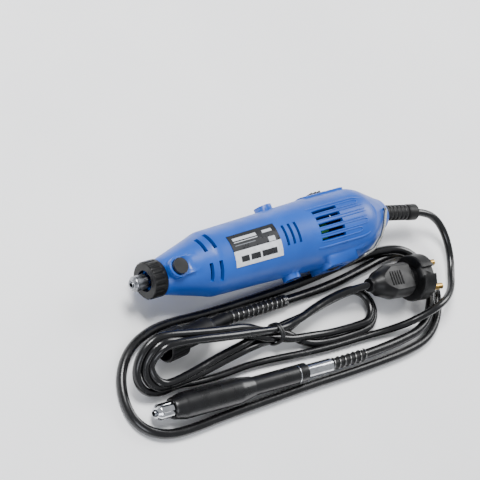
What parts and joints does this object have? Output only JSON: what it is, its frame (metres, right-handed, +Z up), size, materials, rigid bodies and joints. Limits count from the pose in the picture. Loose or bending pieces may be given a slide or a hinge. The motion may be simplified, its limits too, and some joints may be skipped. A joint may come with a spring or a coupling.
{
  "type": "rotary tool with flex shaft",
  "caption": "Mains rotary tool with spindle lock, vents, hanging bail and hanked mains cord, beside its flexible shaft with coupler and pencil handpiece.",
  "frame": {"origin": "On the bench, midway along and across the tool and its flexible-shaft handpiece, leaving out the mains cord, its hank and plug and the sheath.", "axes": "+X from the tool's nose to its tail along its axis, +Z up from the bench, +Y from the handpiece towards the tool."},
  "size_m": [0.3346, 0.1349, 0.052],
  "materials": {
    "housing_blue": "satin moulded, fine grain",
    "black_plastic": "satin moulded",
    "black_rubber": "matt",
    "cord_pvc": "semi-gloss PVC",
    "plate_foil": "printed foil, silver and black",
    "steel": "turned",
    "hard_steel": "ground",
    "spring_steel": "drawn wire",
    "chrome": "bright plated",
    "brass": "drawn",
    "copper": "enamelled winding",
    "laminations": "stacked sheet",
    "carbon": "sintered",
    "board": "solder mask",
    "switch_plastic": "moulded"
  },
  "bodies": {
    "tool": {"housing_upper": "housing_blue", "housing_lower": "housing_blue", "name_plate": "plate_foil", "front_bearing": "steel", "rear_bearing": "steel", "stator_core": "laminations", "field_coils": "copper", "lock_spring": "spring_steel", "brush_holders": "brass", "carbon_brushes": "carbon", "brush_springs": "spring_steel", "brush_caps": "black_plastic", "speed_board": "board", "power_switch": "switch_plastic", "housing_screws": "steel", "cord_clamp": "black_plastic", "strain_relief_boot": "black_rubber", "mains_cord_a": "cord_pvc", "mains_hank": "cord_pvc", "hank_tie": "black_plastic", "mains_cord_b": "cord_pvc", "plug_body": "black_rubber", "plug_pins": "brass", "flex_sheath": "cord_pvc", "coupler_spring": "spring_steel", "handpiece_spring": "spring_steel", "coupler_sleeve": "black_plastic", "coupler_body": "black_plastic", "coupler_collar": "chrome", "handpiece_front_shell": "black_plastic", "handpiece_rear_shell": "black_plastic", "handpiece_sleeve": "chrome", "handpiece_bearings": "steel"},
    "spindle": {"spindle": "hard_steel", "collet": "hard_steel", "armature_core": "laminations", "armature_windings": "copper", "commutator": "copper", "cooling_fan": "black_plastic"},
    "collet_nut": {"collet_nut": "hard_steel"},
    "nose_ring": {"nose_ring": "black_plastic"},
    "lock_button": {"lock_button": "black_plastic", "lock_pin": "hard_steel"},
    "speed_dial": {"speed_dial": "black_plastic"},
    "switch_slider": {"switch_slider": "black_plastic"},
    "hanging_bail": {"hanging_bail": "steel"},
    "coupler_nut": {"coupler_nut": "black_plastic"},
    "drive_tip": {"drive_tip": "hard_steel"},
    "handpiece_spindle": {"handpiece_spindle": "hard_steel", "handpiece_collet": "hard_steel"},
    "handpiece_collet_nut": {"handpiece_collet_nut": "chrome"}
  },
  "joints": [
    {"name": "spindle_spin", "type": "hinge", "parent": "tool", "child": "spindle", "pos_m": [-0.1186, 0.03508, 0.026], "axis": [1, 0, 0], "continuous": true},
    {"name": "collet_nut_turn", "type": "hinge", "parent": "spindle", "child": "collet_nut", "pos_m": [-0.1246, 0.03508, 0.026], "axis": [-1, 0, 0], "range_deg": [0, 360]},
    {"name": "nose_ring_turn", "type": "hinge", "parent": "tool", "child": "nose_ring", "pos_m": [-0.1186, 0.03508, 0.026], "axis": [-1, 0, 0], "range_deg": [0, 360]},
    {"name": "spindle_lock_press", "type": "slide", "parent": "tool", "child": "lock_button", "axis": [0, 0, -1], "range_m": [0, 0.0026], "stiffness_N_per_m": 400, "springref_m": -0.002, "deforming": ["lock_spring"]},
    {"name": "speed_dial_turn", "type": "hinge", "parent": "tool", "child": "speed_dial", "pos_m": [0.0424, 0.01668, 0.026], "axis": [0, 0, 1], "range_deg": [0, 300]},
    {"name": "power_switch_slide", "type": "slide", "parent": "tool", "child": "switch_slider", "axis": [1, 0, 0], "range_m": [0, 0.004]},
    {"name": "hanging_bail_swing", "type": "hinge", "parent": "tool", "child": "hanging_bail", "pos_m": [0.0964, 0.03508, 0.026], "axis": [0, 0, 1], "range_deg": [0, 18]},
    {"name": "coupler_nut_turn", "type": "hinge", "parent": "tool", "child": "coupler_nut", "pos_m": [-0.10532, -0.00923, 0.0115], "axis": [-0.9943, -0.1063, 0], "continuous": true},
    {"name": "handpiece_spindle_spin", "type": "hinge", "parent": "tool", "child": "handpiece_spindle", "pos_m": [-0.13061, -0.05089, 0.0095], "axis": [0.9989, -0.0471, 0], "continuous": true},
    {"name": "drive_tip_spin", "type": "hinge", "parent": "tool", "child": "drive_tip", "pos_m": [-0.11526, -0.0103, 0.0115], "axis": [-0.9943, -0.1063, 0], "continuous": true},
    {"name": "handpiece_collet_nut_turn", "type": "hinge", "parent": "handpiece_spindle", "child": "handpiece_collet_nut", "pos_m": [-0.13261, -0.0508, 0.0095], "axis": [-0.9989, 0.0471, 0], "range_deg": [0, 360]}
  ],
  "couplings": [
    {"joint": "drive_tip_spin", "follows": "handpiece_spindle_spin", "ratio": 1}
  ]
}
